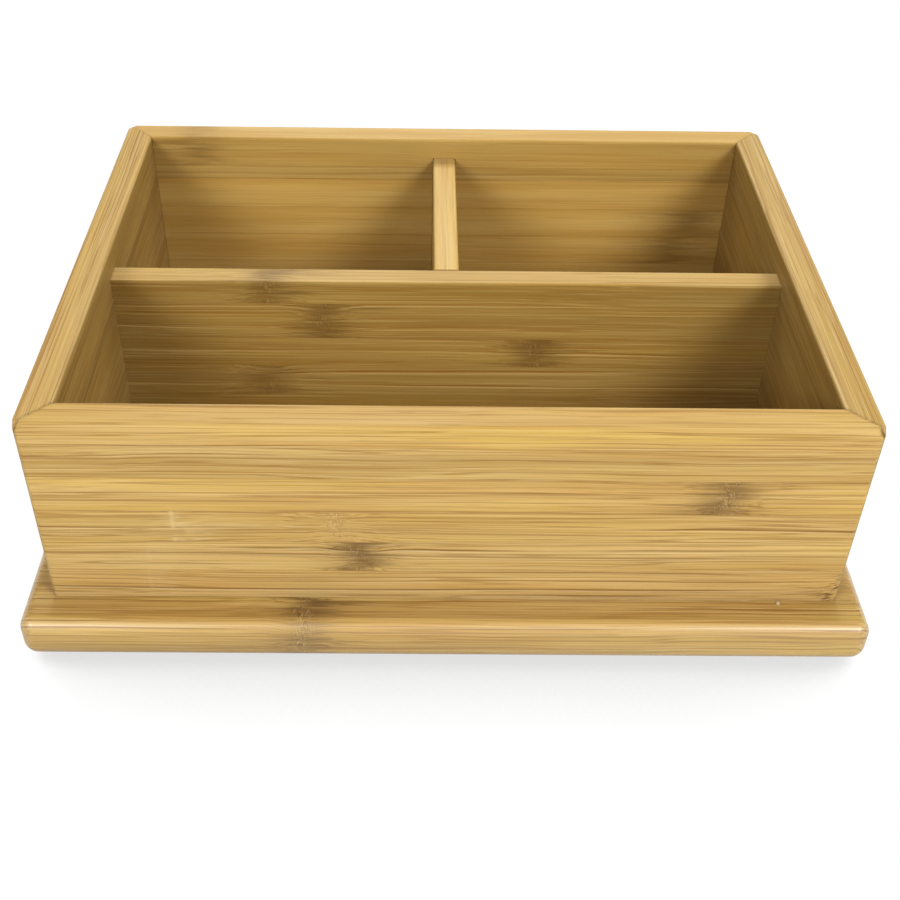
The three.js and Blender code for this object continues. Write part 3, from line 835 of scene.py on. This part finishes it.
# The floor: a plain pale table that goes on past the picture. To the camera it is a white backdrop with a
# painted soft shadow of the caddy and a faint share of the lamps' own shadow; to the caddy it is a pale
# surface that gives back some light.
def seen_by_eye(nodes):
    """1 for what the camera sees, also in a mirror or through glass, and 0 for light on its way round."""
    path = nodes.add("ShaderNodeLightPath", {}).outputs
    mirrored = nodes.maths("MAXIMUM", path["Is Glossy Ray"], path["Is Transmission Ray"])
    return nodes.maths("MAXIMUM", path["Is Camera Ray"], mirrored)


reach = 4.0
floor_corners = [(-reach, -reach, 0), (reach, -reach, 0), (reach, reach, 0), (-reach, reach, 0)]
floor_mesh = bpy.data.meshes.new("floor")
floor_mesh.from_pydata(floor_corners, [], [(0, 1, 2, 3)])
floor = bpy.data.objects.new("floor", floor_mesh)
bpy.context.scene.collection.objects.link(floor)
floor_paint = bpy.data.materials.new("floor_paint")
floor_paint.use_nodes = True
nodes = Nodes(floor_paint.node_tree)
nodes.tree.nodes.remove(nodes.tree.nodes["Principled BSDF"])
pale = nodes.add("ShaderNodeBsdfDiffuse", {"Color": (0.78, 0.78, 0.78, 1)}).outputs[0]
# Painted shadow: the backdrop's glow is dimmed where the caddy closes in the floor towards the back and top,
# so the shadow falls in front of it as if lit from behind.
from_behind = nodes.vector(0.0, 0.8, 0.6)
painted_shadow_inputs = {"Distance": 70 * mm, "Normal": from_behind}
painted_shadow_light = nodes.add("ShaderNodeAmbientOcclusion", painted_shadow_inputs, samples=16).outputs["AO"]
white = nodes.ramp(painted_shadow_light, 0.28, 0.57, 0.70, 0.97)
backdrop_with_painted_shadow = nodes.add("ShaderNodeEmission", {"Color": nodes.vector(white, white, white)}).outputs[0]
shaded = nodes.add("ShaderNodeBsdfDiffuse", {"Color": (0.06, 0.06, 0.06, 1)}).outputs[0]
backdrop = nodes.add("ShaderNodeAddShader", {0: shaded, 1: backdrop_with_painted_shadow}).outputs[0]
surface = nodes.add("ShaderNodeMixShader", {0: seen_by_eye(nodes), 1: pale, 2: backdrop}).outputs[0]
nodes.join(surface, nodes.tree.nodes["Material Output"].inputs["Surface"])
floor_mesh.materials.append(floor_paint)


# The light: a studio's soft boxes, a main one in front on the right, a weaker one in front on the left and
# one behind and above, in a dark room that is white only to the camera.
def soft_box(name, place, size, watts):
    """A square soft box that faces the caddy."""
    lamp = bpy.data.lights.new(name, "AREA")
    lamp.size = size
    lamp.energy = watts
    box = bpy.data.objects.new(name, lamp)
    box.location = place
    middle = Vector((0, 0, 0.04))
    box.rotation_euler = (middle - Vector(place)).to_track_quat("-Z", "Y").to_euler()
    bpy.context.scene.collection.objects.link(box)


soft_box("right_box", (0.65, -0.65, 0.77), size=0.45, watts=8.3)
soft_box("left_box", (-0.62, -0.79, 0.65), size=0.45, watts=6.0)
soft_box("rear_box", (0.0, 0.74, 0.95), size=0.45, watts=8.2)
room = bpy.data.worlds.new("room")
room.use_nodes = True
bpy.context.scene.world = room
nodes = Nodes(room.node_tree)
even = nodes.add("ShaderNodeBackground", {"Color": (1, 1, 1, 1), "Strength": 0.02}).outputs[0]
white = nodes.add("ShaderNodeBackground", {"Color": (1, 1, 1, 1), "Strength": 1.0}).outputs[0]
sky = nodes.add("ShaderNodeMixShader", {0: seen_by_eye(nodes), 1: even, 2: white}).outputs[0]
nodes.join(sky, nodes.tree.nodes["World Output"].inputs["Surface"])


# The camera: a plain lens in front of the caddy and above it, looking down into the pockets. It stands a
# little left of the middle and is turned and tilted by about a degree.
lens = bpy.data.cameras.new("camera")
lens.sensor_width = 36.0
lens.lens = 50.82
lens.shift_x = 0.02
lens.clip_start = 0.01
lens.clip_end = 50.0
camera = bpy.data.objects.new("camera", lens)
stand = (-0.0081, -0.34227, 0.28669)
look_down, look_right, tilt = 0.6974, 0.0130, 0.0163
aim = Matrix.Rotation(-look_right, 4, "Z") @ Matrix.Rotation(math.pi / 2 - look_down, 4, "X")
camera.matrix_world = Matrix.Translation(stand) @ aim @ Matrix.Rotation(tilt, 4, "Z")
bpy.context.scene.collection.objects.link(camera)
bpy.context.scene.camera = camera
bpy.context.scene.view_settings.view_transform = "Standard"
